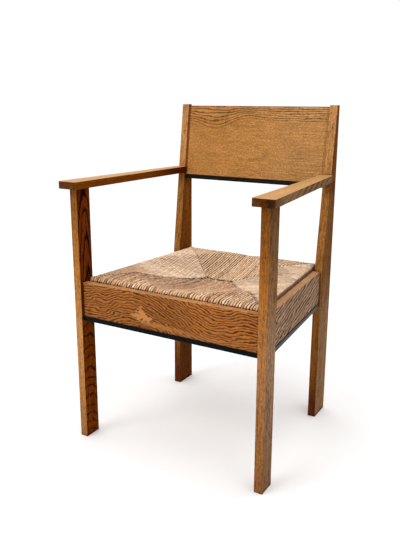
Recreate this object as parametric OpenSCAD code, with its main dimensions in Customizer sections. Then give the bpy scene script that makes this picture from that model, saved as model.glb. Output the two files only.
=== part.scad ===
// Low oak armchair with board legs, a plain panel back and a drop-in rush seat.
// Frame: origin on the floor under the centre of the bounding box,
// +X to the right-hand arm as seen from the front, -Y to the front, +Z up.

/* [Overall] */
// Height of the back posts
total_h = 860; // [780:1:940]
// Width over the front legs
front_w = 535; // [500:1:600]
// Width over the back posts
rear_w = 472; // [440:1:540]
// Depth from the front of the front legs to the back of the back posts
frame_d = 486; // [440:1:540]

/* [Legs and posts] */
// Thickness of the boards for legs and posts
leg_t = 21; // [19:0.5:26]
// Depth of a front leg, front to back
leg_d = 48; // [40:1:60]
// Depth of a back post below the seat
post_d = 70; // [60:1:80]
// Depth of a back post at its top
post_top_d = 14; // [12:1:30]
// Height where the front edge of a back post starts to lean back
lean_z = 432; // [428:1:460]

/* [Arms] */
// Height of the underside of the arms
arm_z = 664; // [620:1:700]
// Thickness of the arms
arm_t = 18; // [16:0.5:24]
// Overhang of the arms in front of the legs
arm_front = 20; // [10:1:30]
// Overhang of the arm outside the leg, at the front
arm_out = 20; // [10:1:28]
// Overhang of the arm inside the leg, at the front
arm_in = 14; // [6:1:20]
// Overhang of the arm on both sides of the post, at the back
arm_rear = 5; // [2:1:8]
// Radius of the front corners of the arms
arm_corner = 6; // [2:0.5:10]

/* [Seat rails] */
// Height of the seat rails
rail_h = 88; // [80:1:92]
// Height of the underside of the seat rails
rail_z = 338; // [320:1:342]
// Thickness of the seat rails
rail_t = 19; // [17:0.5:20]
// Step from the front of the legs to the front rail
front_step = 8; // [4:1:10]
// Step from the outside of the legs to the side rails
side_step = 6; // [4:1:8]
// Height of the dark strips under the rails
strip_h = 11.5; // [8:0.5:16]
// Distance that the dark strips stand proud of the rails
strip_proud = 2.5; // [1:0.5:3.5]

/* [Backrest] */
// Height of the lower edge of the backrest panel
panel_z = 660; // [620:1:690]
// Distance from the top of the posts down to the panel
panel_drop = 4; // [0:1:10]
// Thickness of the backrest panel
panel_t = 11; // [8:0.5:12]
// Step from the front of the posts to the panel
panel_step = 1; // [0:0.5:2]
// Height of the dark strip under the panel
back_strip_h = 12.5; // [8:0.5:16]

/* [Seat] */
// Gap between the drop-in seat and the rails
seat_gap = 2; // [1:0.5:4]
// Height of the ledge that the drop-in seat rests on
ledge_z = 402; // [398:1:404]
// Width of the seat frame members
member_w = 32; // [28:1:36]
// Thickness of the seat frame members
member_h = 18; // [16:1:20]
// Thickness of the rush wrapped round the members
rush_t = 5; // [4:0.5:6]
// Height of the seat's rim above the ledge
rim_h = 36.5; // [34:0.5:40]
// Sag of the rush at the middle of the seat, below its rim
sag = 34; // [20:1:36]

/* [Hidden] */

$fn = 48;

oak_leg = [0.66, 0.43, 0.22];
oak_rail = [0.56, 0.36, 0.18];
oak_arm = [0.72, 0.50, 0.28];
oak_panel = [0.70, 0.47, 0.25];
black_wood = [0.06, 0.07, 0.08];
inner_wood = [0.78, 0.66, 0.46];
rush_tan = [0.80, 0.66, 0.46];
steel = [0.62, 0.62, 0.64];

// Fore and aft reference lines. y_f is the front of the legs, y_b the back of the posts.
overall_d = frame_d + arm_front;
y_f = -overall_d / 2 + arm_front;
y_b = overall_d / 2;
y_lb = y_f + leg_d;         // back face of the front legs
y_pf = y_b - post_d;        // front face of the back posts, below the seat

// Outer and inner faces of legs and posts, for the right-hand (+X) side
fx_o = front_w / 2;
fx_i = fx_o - leg_t;
rx_o = rear_w / 2;
rx_i = rx_o - leg_t;

// Front edge of the posts at height z, in the leaning part
lean = (post_d - post_top_d) / (total_h - lean_z);
function post_y(z) = y_pf + max(0, z - lean_z) * lean;
lean_a = atan(lean);

// Side rails: they converge towards the back
sx_f = fx_o - side_step;
sx_r = rx_o - side_step;
slope = (sx_r - sx_f) / (y_pf - y_lb);
side_a = atan(-slope);
tx = rail_t / cos(side_a);                 // rail thickness measured along X
function sx_out(y) = sx_f + (y - y_lb) * slope;
function sx_in(y) = sx_out(y) - tx;

// Front and back rails
fr_y0 = y_f + front_step;
fr_y1 = fr_y0 + rail_t;
br_y1 = y_b - 3;
br_y0 = br_y1 - rail_t;

// Tenons
ten_t = 8;          // thickness
ten_off = 3;        // step from the outer face of a side rail to its tenon
ten_l = 14;         // length into a leg seen from the side
ten_ls = 20;        // length into the depth of a leg or post
ten_z0 = rail_z + 8;
ten_z1 = rail_z + rail_h - 8;
fit = 0.1;          // glue line round a tenon
glue = 1;           // room past the end of a tenon or dowel

// Seat outline, at the outside of the rush
seat_y0 = fr_y1 + seat_gap;
seat_y1 = br_y0 - seat_gap;
function seat_x(y) = sx_in(y) - seat_gap;
mem_z0 = ledge_z + rush_t;
mem_z1 = mem_z0 + member_h;

// Right-hand version of a shape, or its mirror image
module sided(s) { if (s > 0) children(); else mirror([1, 0, 0]) children(); }

// Prism along Z from a plan polygon
module plan(points, z0, z1) { translate([0, 0, z0]) linear_extrude(z1 - z0) polygon(points); }

// Prism along X from a side profile given as [y, z] points
module profile(points, x0, x1) {
    translate([x0, 0, 0]) rotate([90, 0, 90]) linear_extrude(x1 - x0) polygon(points);
}

// Points that round the corner c, between the points a and b before and after it
function unit(p) = p / sqrt(p[0] * p[0] + p[1] * p[1]);
function half_angle(u, v) = acos(u[0] * v[0] + u[1] * v[1]) / 2;
function round_mid(c, u, v, r) = c + unit(u + v) * (r / sin(half_angle(u, v)));
function round_step(c, u, v, m, r, t) = unit((c + u * (r / tan(half_angle(u, v))) - m) * (1 - t)
    + (c + v * (r / tan(half_angle(u, v))) - m) * t) * r + m;
function rounded(a, c, b, r) = [for (t = [0, 0.22, 0.41, 0.59, 0.78, 1])
    round_step(c, unit(a - c), unit(b - c), round_mid(c, unit(a - c), unit(b - c), r), r, t)];

// Cylinders along X and Y
module bar_x(r, x0, x1, y, z) { translate([x0, y, z]) rotate([0, 90, 0]) cylinder(r = r, h = x1 - x0); }
module bar_y(r, y0, y1, x, z) { translate([x, y0, z]) rotate([-90, 0, 0]) cylinder(r = r, h = y1 - y0); }

/* --- tenons, drawn for the right-hand side, grown by c for the mortises --- */

module side_tenon_front(c = 0) {
    ya = y_lb - ten_ls - (c > 0 ? glue : 0);
    yb = y_lb + (c > 0 ? 0 : 4);
    plan([[sx_out(ya) - ten_off + c, ya], [sx_out(yb) - ten_off + c, yb],
          [sx_out(yb) - ten_off - ten_t - c, yb], [sx_out(ya) - ten_off - ten_t - c, ya]],
        ten_z0 - c, ten_z1 + c);
}

module side_tenon_rear(c = 0) {
    ya = y_pf - (c > 0 ? 0 : 4);
    yb = y_pf + ten_ls + (c > 0 ? glue : 0);
    plan([[sx_out(ya) - ten_off + c, ya], [sx_out(yb) - ten_off + c, yb],
          [sx_out(yb) - ten_off - ten_t - c, yb], [sx_out(ya) - ten_off - ten_t - c, ya]],
        ten_z0 - c, ten_z1 + c);
}

module cross_tenon(x_face, y0, c = 0) {
    ym = y0 + rail_t / 2;
    translate([x_face - (c > 0 ? 0 : 4), ym - ten_t / 2 - c, ten_z0 - c])
        cube([ten_l + (c > 0 ? glue : 4), ten_t + 2 * c, ten_z1 - ten_z0 + 2 * c]);
}

/* --- dowels --- */

arm_dowel_r = 4;
arm_dowel_y = [y_f + 13, y_f + 35];
arm_dowel_x = (fx_o + fx_i) / 2;
module arm_leg_dowel(y, c = 0) {
    translate([arm_dowel_x, y, arm_z - 25 - (c > 0 ? glue : 0)])
        cylinder(r = arm_dowel_r + c, h = 37 + (c > 0 ? 2 * glue : 0));
}
post_dowel_x = [(rx_o + rx_i) / 2 - 5.5, (rx_o + rx_i) / 2 + 5.5];
module arm_post_dowel(x, c = 0) {
    yc = post_y(arm_z + arm_t / 2);
    g = c > 0 ? glue : 0;
    bar_y(3.5 + c, yc - 24 - g, yc + 18 + g, x, arm_z + arm_t / 2);
}
panel_dowel_z = [panel_z + 32, (panel_z + total_h) / 2 - 2, total_h - 36];
module panel_dowel(z, c = 0) {
    g = c > 0 ? glue : 0;
    bar_x(3 + c, rx_i - 14 - g, rx_i + 12 + g, post_y(z) + panel_step + panel_t / 2, z);
}

/* --- screws: shank along +Y or +X from the back of the head --- */

screw_r = 1.8;
head_r = 3.6;
head_h = 2.4;
cs_z = [rail_z + 22, rail_z + 46];     // the two screw heights in a corner block

module screw_fy(x, z, c = 0) {          // front block to front rail
    h = fr_y1 + 16;
    bar_y(screw_r + c, fr_y1 - 12 - c, h, x, z);
    bar_y(head_r + c, h, h + (c > 0 ? 60 : head_h), x, z);
}
module screw_fx(y, z, c = 0) {          // front block to side rail
    h = sx_in(y) - 16;
    bar_x(screw_r + c, h, h + 28 + c, y, z);
    bar_x(head_r + c, h - (c > 0 ? 60 : head_h), h, y, z);
}
module screw_ry(x, z, c = 0) {          // rear block to back rail
    h = br_y0 - 16;
    bar_y(screw_r + c, h, br_y0 + 12 + c, x, z);
    bar_y(head_r + c, h - (c > 0 ? 60 : head_h), h, x, z);
}
module screw_rx(y, z, c = 0) {          // rear block to back post
    h = rx_i - 16;
    bar_x(screw_r + c, h, rx_i + 12 + c, y, z);
    bar_x(head_r + c, h - (c > 0 ? 60 : head_h), h, y, z);
}
fb_x = sx_in(fr_y1) - 42;               // screw places in the blocks
fb_y = fr_y1 + 42;
rb_x = rx_i - 42;
rb_y = br_y0 - 16;

module block_screws_right(c = 0) {
    screw_fy(fb_x, cs_z[0], c);
    screw_fx(fb_y, cs_z[1], c);
    screw_ry(rb_x, cs_z[0], c);
    screw_rx(rb_y, cs_z[1], c);
}

/* --- seat ledges and their screws --- */

ledge_w = 16;
ledge_h = 18;
ledge_mid = ledge_z - ledge_h / 2;
ledge_front_x = [-90, 0, 90];
ledge_back_x = [-80, 0, 80];
ledge_side_y = [y_lb + 60, (y_lb + y_pf) / 2, y_pf - 50];

module ledge_screw_front(x, c = 0) {
    h = fr_y1 + ledge_w;
    bar_y(screw_r + c, fr_y1 - 12 - c, h - head_h, x, ledge_mid);
    bar_y(head_r + c, h - head_h, h + c, x, ledge_mid);
}
module ledge_screw_back(x, c = 0) {
    h = br_y0 - ledge_w;
    bar_y(screw_r + c, h + head_h, br_y0 + 12 + c, x, ledge_mid);
    bar_y(head_r + c, h - c, h + head_h, x, ledge_mid);
}
// Square to the slanting side rail
module ledge_screw_side(y, c = 0) {
    translate([sx_in(y), y, ledge_mid]) rotate([0, 0, -side_a]) {
        bar_x(screw_r + c, -ledge_w + head_h, 12 + c, 0, 0);
        bar_x(head_r + c, -ledge_w - c, -ledge_w + head_h, 0, 0);
    }
}
module ledge_screws_all(c = 0) {
    for (x = ledge_front_x) ledge_screw_front(x, c);
    for (x = ledge_back_x) ledge_screw_back(x, c);
    for (s = [-1, 1]) sided(s) for (y = ledge_side_y) ledge_screw_side(y, c);
}

/* --- frame boards --- */

module front_leg(s) {
    sided(s) difference() {
        translate([fx_i, y_f, 0]) cube([leg_t, leg_d, arm_z]);
        cross_tenon(fx_i, fr_y0, fit);
        side_tenon_front(fit);
        for (y = arm_dowel_y) arm_leg_dowel(y, 0.05);
    }
}
module front_leg_left() { color(oak_leg) front_leg(-1); }
module front_leg_right() { color(oak_leg) front_leg(1); }

module back_post(s) {
    sided(s) difference() {
        profile([[y_pf, 0], [y_b, 0], [y_b, total_h], [y_b - post_top_d, total_h], [y_pf, lean_z]], rx_i, rx_o);
        cross_tenon(rx_i, br_y0, fit);
        side_tenon_rear(fit);
        for (x = post_dowel_x) arm_post_dowel(x, 0.05);
        for (z = panel_dowel_z) panel_dowel(z, 0.05);
        screw_rx(rb_y, cs_z[1], 0.05);
    }
}
module back_post_left() { color(oak_leg) back_post(-1); }
module back_post_right() { color(oak_leg) back_post(1); }

module front_rail() {
    color(oak_rail) difference() {
        union() {
            translate([-fx_i, fr_y0, rail_z]) cube([2 * fx_i, rail_t, rail_h]);
            for (s = [-1, 1]) sided(s) cross_tenon(fx_i, fr_y0);
        }
        for (s = [-1, 1]) sided(s) screw_fy(fb_x, cs_z[0], 0.05);
        for (x = ledge_front_x) ledge_screw_front(x, 0.05);
    }
}

module back_rail() {
    color(oak_rail) difference() {
        union() {
            translate([-rx_i, br_y0, rail_z]) cube([2 * rx_i, rail_t, rail_h]);
            for (s = [-1, 1]) sided(s) cross_tenon(rx_i, br_y0);
        }
        for (s = [-1, 1]) sided(s) screw_ry(rb_x, cs_z[0], 0.05);
        for (x = ledge_back_x) ledge_screw_back(x, 0.05);
    }
}

module side_rail(s) {
    sided(s) difference() {
        union() {
            plan([[sx_out(y_lb), y_lb], [sx_out(y_pf), y_pf], [sx_in(y_pf), y_pf], [sx_in(y_lb), y_lb]],
                rail_z, rail_z + rail_h);
            side_tenon_front();
            side_tenon_rear();
        }
        screw_fx(fb_y, cs_z[1], 0.05);
        for (y = ledge_side_y) ledge_screw_side(y, 0.05);
    }
}
module side_rail_left() { color(oak_rail) side_rail(-1); }
module side_rail_right() { color(oak_rail) side_rail(1); }

/* --- dark strips --- */

module front_rail_strip() {
    color(black_wood) translate([-fx_i, fr_y0 - strip_proud, rail_z - strip_h])
        cube([2 * fx_i, rail_t + strip_proud, strip_h]);
}
module back_rail_strip() {
    color(black_wood) translate([-rx_i, br_y0, rail_z - strip_h])
        cube([2 * rx_i, rail_t + strip_proud, strip_h]);
}
module side_strip(s) {
    p = strip_proud / cos(side_a);
    sided(s) plan([[sx_out(y_lb) + p, y_lb], [sx_out(y_pf) + p, y_pf], [sx_in(y_pf), y_pf], [sx_in(y_lb), y_lb]],
        rail_z - strip_h, rail_z);
}
module side_strip_left() { color(black_wood) side_strip(-1); }
module side_strip_right() { color(black_wood) side_strip(1); }

/* --- arms --- */

// Everything behind the leaning front face of the posts
module behind_posts() {
    profile([[post_y(600), 600], [post_y(760), 760], [y_b + 60, 760], [y_b + 60, 600]], 0, 400);
}
module armrest(s) {
    yr = post_y(arm_z + arm_t) + 6;
    y0 = y_f - arm_front;
    // The sides are straight, so the back corners are carried on along them
    k = (yr - y0) / (post_y(arm_z + arm_t / 2) - y0);
    xo0 = fx_o + arm_out;
    xi0 = fx_i - arm_in;
    xo1 = xo0 + (rx_o + arm_rear - xo0) * k;
    xi1 = xi0 + (rx_i - arm_rear - xi0) * k;
    sided(s) difference() {
        plan(concat(rounded([xi1, yr], [xi0, y0], [xo0, y0], arm_corner),
            rounded([xi0, y0], [xo0, y0], [xo1, yr], arm_corner),
            [[xo1, yr], [xi1, yr]]), arm_z, arm_z + arm_t);
        behind_posts();
        for (y = arm_dowel_y) arm_leg_dowel(y, 0.05);
        for (x = post_dowel_x) arm_post_dowel(x, 0.05);
    }
}
module armrest_left() { color(oak_arm) armrest(-1); }
module armrest_right() { color(oak_arm) armrest(1); }
module arm_leg_dowels() {
    color(inner_wood) for (s = [-1, 1]) sided(s) for (y = arm_dowel_y) arm_leg_dowel(y);
}
module arm_post_dowels() {
    color(inner_wood) for (s = [-1, 1]) sided(s) for (x = post_dowel_x) arm_post_dowel(x);
}

/* --- backrest --- */

panel_ty = panel_t / cos(lean_a);
module backrest_panel() {
    zt = total_h - panel_drop;
    color(oak_panel) difference() {
        profile([[post_y(panel_z) + panel_step, panel_z], [post_y(zt) + panel_step, zt],
                 [post_y(zt) + panel_step + panel_ty, zt], [post_y(panel_z) + panel_step + panel_ty, panel_z]],
            -rx_i, rx_i);
        for (s = [-1, 1]) sided(s) for (z = panel_dowel_z) panel_dowel(z, 0.05);
    }
}
module backrest_strip() {
    z0 = panel_z - back_strip_h;
    d = panel_step + panel_ty + 1;
    color(black_wood) profile([[post_y(z0), z0], [post_y(panel_z), panel_z],
        [post_y(panel_z) + d, panel_z], [post_y(z0) + d, z0]], -rx_i, rx_i);
}
module panel_dowels() {
    color(inner_wood) for (s = [-1, 1]) sided(s) for (z = panel_dowel_z) panel_dowel(z);
}

/* --- corner blocks and ledges inside the seat rails --- */

block_z0 = rail_z + 7;
module corner_block_front(s) {
    y0 = fr_y1;
    y1 = fr_y1 + 58;
    x0 = sx_in(y0);
    sided(s) difference() {
        plan([[x0, y0], [sx_in(y1), y1], [sx_in(y1) - 12, y1], [x0 - 58, y0 + 12], [x0 - 58, y0]], block_z0, ledge_z);
        screw_fy(fb_x, cs_z[0], 0.05);
        screw_fx(fb_y, cs_z[1], 0.05);
    }
}
module corner_block_rear(s) {
    y0 = y_pf + 2;
    x0 = rx_i;
    sided(s) difference() {
        plan([[x0, br_y0], [x0, y0], [x0 - 12, y0], [x0 - 58, br_y0 - 12], [x0 - 58, br_y0]], block_z0, ledge_z);
        screw_ry(rb_x, cs_z[0], 0.05);
        screw_rx(rb_y, cs_z[1], 0.05);
    }
}
module corner_block_front_left() { color(inner_wood) corner_block_front(-1); }
module corner_block_front_right() { color(inner_wood) corner_block_front(1); }
module corner_block_rear_left() { color(inner_wood) corner_block_rear(-1); }
module corner_block_rear_right() { color(inner_wood) corner_block_rear(1); }
module corner_block_screws() { color(steel) for (s = [-1, 1]) sided(s) block_screws_right(); }

module seat_ledge_front() {
    w = 2 * (sx_in(fr_y1) - 60);
    color(inner_wood) difference() {
        translate([-w / 2, fr_y1, ledge_z - ledge_h]) cube([w, ledge_w, ledge_h]);
        for (x = ledge_front_x) ledge_screw_front(x, 0.05);
    }
}
module seat_ledge_back() {
    w = 2 * (rx_i - 60);
    color(inner_wood) difference() {
        translate([-w / 2, br_y0 - ledge_w, ledge_z - ledge_h]) cube([w, ledge_w, ledge_h]);
        for (x = ledge_back_x) ledge_screw_back(x, 0.05);
    }
}
module seat_ledge_side(s) {
    ya = fr_y1 + 60;
    yb = y_pf - 2;
    w = ledge_w / cos(side_a);
    sided(s) difference() {
        plan([[sx_in(ya), ya], [sx_in(yb), yb], [sx_in(yb) - w, yb], [sx_in(ya) - w, ya]], ledge_z - ledge_h, ledge_z);
        for (y = ledge_side_y) ledge_screw_side(y, 0.05);
    }
}
module seat_ledge_left() { color(inner_wood) seat_ledge_side(-1); }
module seat_ledge_right() { color(inner_wood) seat_ledge_side(1); }
module seat_ledge_screws() { color(steel) ledge_screws_all(); }

/* --- drop-in seat --- */

// Thin trapezoid slab of the seat outline, set in by i on all sides
module seat_slab(i, z, h = 0.2) {
    ya = seat_y0 + i;
    yb = seat_y1 - i;
    plan([[-seat_x(ya) + i, ya], [seat_x(ya) - i, ya], [seat_x(yb) - i, yb], [-seat_x(yb) + i, yb]], z, z + h);
}
// Hollow worn into the top of the rush: a bowl of rounded diamonds, widest at the rim.
// Each ring is a superellipse of size r, fitted to the trapezoid outline.
seat_yc = (seat_y0 + seat_y1) / 2;
seat_hd = (seat_y1 - seat_y0) / 2;
function bend(a) = sign(a) * pow(abs(a), 4 / 3);
function ring_y(r, t) = seat_yc + r * bend(sin(t)) * seat_hd;
function ring(r) = [for (t = [0:15:345]) [r * bend(cos(t)) * seat_x(ring_y(r, t)), ring_y(r, t)]];
function sag_z(r) = ledge_z + rim_h - sag * pow(1 - r * r, 1.1);
module dish(drop = 0) {
    translate([0, 0, -drop]) hull() {
        for (r = [0.1, 0.3, 0.6, 0.85]) translate([0, 0, sag_z(r)]) linear_extrude(0.2) polygon(ring(r));
        translate([0, 0, ledge_z + rim_h + 0.1]) linear_extrude(8) polygon(ring(0.97));
    }
}
// Loose rush between the upper and the lower layer, thinning to the middle
module stuffing_shape() {
    difference() {
        hull() {
            seat_slab(rush_t + member_w + 3, mem_z0 + 3, 8);
            seat_slab(110, ledge_z - 6);
        }
        dish(6);
    }
}
module seat_side_member(s) {
    ya = seat_y0 + rush_t;
    yb = seat_y1 - rush_t;
    w = member_w / cos(side_a);
    sided(s) plan([[seat_x(ya) - rush_t, ya], [seat_x(yb) - rush_t, yb],
        [seat_x(yb) - rush_t - w, yb], [seat_x(ya) - rush_t - w, ya]], mem_z0, mem_z1);
}
function mem_in(y) = seat_x(y) - rush_t - member_w / cos(side_a);
// Tenons at both ends of a cross member
module seat_cross_tenons(ym) {
    for (s = [-1, 1]) sided(s)
        translate([mem_in(ym) - 6, ym - 9, mem_z0 + 6])
            cube([6 + 22, 18, member_h - 12]);
}
module seat_cross_body(ya) {
    yb = ya + member_w;
    plan([[-mem_in(ya), ya], [mem_in(ya), ya], [mem_in(yb), yb], [-mem_in(yb), yb]], mem_z0, mem_z1);
}
cross_y_front = seat_y0 + rush_t;
cross_y_back = seat_y1 - rush_t - member_w;
module seat_mortises() {
    seat_cross_mortise(cross_y_front + member_w / 2);
    seat_cross_mortise(cross_y_back + member_w / 2);
}
// The inner face slants, so the mortise is carried out past it
module seat_cross_mortise(ym) {
    for (s = [-1, 1]) sided(s)
        translate([mem_in(ym) - 4, ym - 9 - fit, mem_z0 + 6 - fit])
            cube([4 + 22 + glue, 18 + 2 * fit, member_h - 12 + 2 * fit]);
}
module seat_frame_front() {
    color(inner_wood) { seat_cross_body(cross_y_front); seat_cross_tenons(cross_y_front + member_w / 2); }
}
module seat_frame_back() {
    color(inner_wood) { seat_cross_body(cross_y_back); seat_cross_tenons(cross_y_back + member_w / 2); }
}
module seat_frame_left() { color(inner_wood) difference() { seat_side_member(-1); seat_mortises(); } }
module seat_frame_right() { color(inner_wood) difference() { seat_side_member(1); seat_mortises(); } }
module rush_stuffing() { color(rush_tan) stuffing_shape(); }

// Room inside the rush for the four members of the seat frame
module member_room() {
    ya = seat_y0 + rush_t;
    yb = seat_y1 - rush_t;
    yc = cross_y_front + member_w;
    yd = cross_y_back;
    translate([0, 0, mem_z0]) linear_extrude(member_h) difference() {
        polygon([[-seat_x(ya) + rush_t, ya], [seat_x(ya) - rush_t, ya], [seat_x(yb) - rush_t, yb], [-seat_x(yb) + rush_t, yb]]);
        polygon([[-mem_in(yc), yc], [mem_in(yc), yc], [mem_in(yd), yd], [-mem_in(yd), yd]]);
    }
}

module rush_weave() {
    color(rush_tan) difference() {
        union() {
            hull() {
                seat_slab(4, ledge_z);
                seat_slab(0, ledge_z + 7);
                seat_slab(0, ledge_z + 27);
                seat_slab(5, ledge_z + rim_h - 0.2);
            }
            // The lower layer hangs below the ledges in the middle
            hull() {
                seat_slab(45, ledge_z + 0.5);
                seat_slab(110, ledge_z - 11);
            }
        }
        dish();
        stuffing_shape();
        member_room();
    }
}

front_leg_left();
front_leg_right();
back_post_left();
back_post_right();
front_rail();
back_rail();
side_rail_left();
side_rail_right();
front_rail_strip();
back_rail_strip();
side_strip_left();
side_strip_right();
armrest_left();
armrest_right();
arm_leg_dowels();
arm_post_dowels();
backrest_panel();
backrest_strip();
panel_dowels();
corner_block_front_left();
corner_block_front_right();
corner_block_rear_left();
corner_block_rear_right();
corner_block_screws();
seat_ledge_front();
seat_ledge_back();
seat_ledge_left();
seat_ledge_right();
seat_ledge_screws();
rush_weave();
rush_stuffing();
seat_frame_front();
seat_frame_back();
seat_frame_left();
seat_frame_right();
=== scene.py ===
import math

import bmesh
import bpy
import numpy as np
from mathutils import Matrix, Vector


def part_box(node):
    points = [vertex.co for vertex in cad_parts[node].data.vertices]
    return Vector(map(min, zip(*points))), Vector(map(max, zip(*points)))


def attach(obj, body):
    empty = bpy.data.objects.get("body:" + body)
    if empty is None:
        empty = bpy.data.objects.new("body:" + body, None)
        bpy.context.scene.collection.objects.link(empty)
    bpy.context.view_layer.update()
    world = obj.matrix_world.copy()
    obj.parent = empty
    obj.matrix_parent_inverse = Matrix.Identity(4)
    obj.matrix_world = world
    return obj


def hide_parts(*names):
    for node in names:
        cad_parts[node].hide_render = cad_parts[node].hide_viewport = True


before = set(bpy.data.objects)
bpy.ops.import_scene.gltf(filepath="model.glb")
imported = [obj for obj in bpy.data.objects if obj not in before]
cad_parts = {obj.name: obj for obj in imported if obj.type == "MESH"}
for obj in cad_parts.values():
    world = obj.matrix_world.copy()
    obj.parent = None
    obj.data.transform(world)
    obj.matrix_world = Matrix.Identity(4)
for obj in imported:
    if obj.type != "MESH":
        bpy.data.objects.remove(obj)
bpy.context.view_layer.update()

scene = bpy.context.scene

# ---------------------------------------------------------------- camera
# Where the chair is seen from, in the frame's own axes.
YAW, PITCH, ROLL = math.radians(30.542), math.radians(14.562), math.radians(0.141)
fwd = Vector((-math.sin(YAW) * math.cos(PITCH), math.cos(YAW) * math.cos(PITCH), -math.sin(PITCH)))
right = Vector((math.cos(YAW), math.sin(YAW), 0))
up = right.cross(fwd)
r_ = right * math.cos(ROLL) + up * math.sin(ROLL)
u_ = -right * math.sin(ROLL) + up * math.cos(ROLL)
cam_data = bpy.data.cameras.new("camera")
cam_data.sensor_width = 36.0
cam_data.lens = 43.535
cam_data.clip_start, cam_data.clip_end = 0.05, 50
cam = bpy.data.objects.new("camera", cam_data)
scene.collection.objects.link(cam)
rot = Matrix((r_, u_, -fwd)).transposed().to_4x4()
cam.matrix_world = Matrix.Translation((0.80214, -1.420074, 0.87453)) @ rot
scene.camera = cam


# ---------------------------------------------------------------- shader graphs
class Sock:
    """An output socket that takes part in arithmetic."""

    def __init__(self, g, s):
        self.g, self.s = g, s

    def __add__(self, o):
        return self.g.math("ADD", self, o)

    __radd__ = __add__

    def __sub__(self, o):
        return self.g.math("SUBTRACT", self, o)

    def __rsub__(self, o):
        return self.g.math("SUBTRACT", o, self)

    def __mul__(self, o):
        return self.g.math("MULTIPLY", self, o)

    __rmul__ = __mul__

    def __truediv__(self, o):
        return self.g.math("DIVIDE", self, o)

    def __neg__(self):
        return self.g.math("MULTIPLY", self, -1.0)


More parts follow.
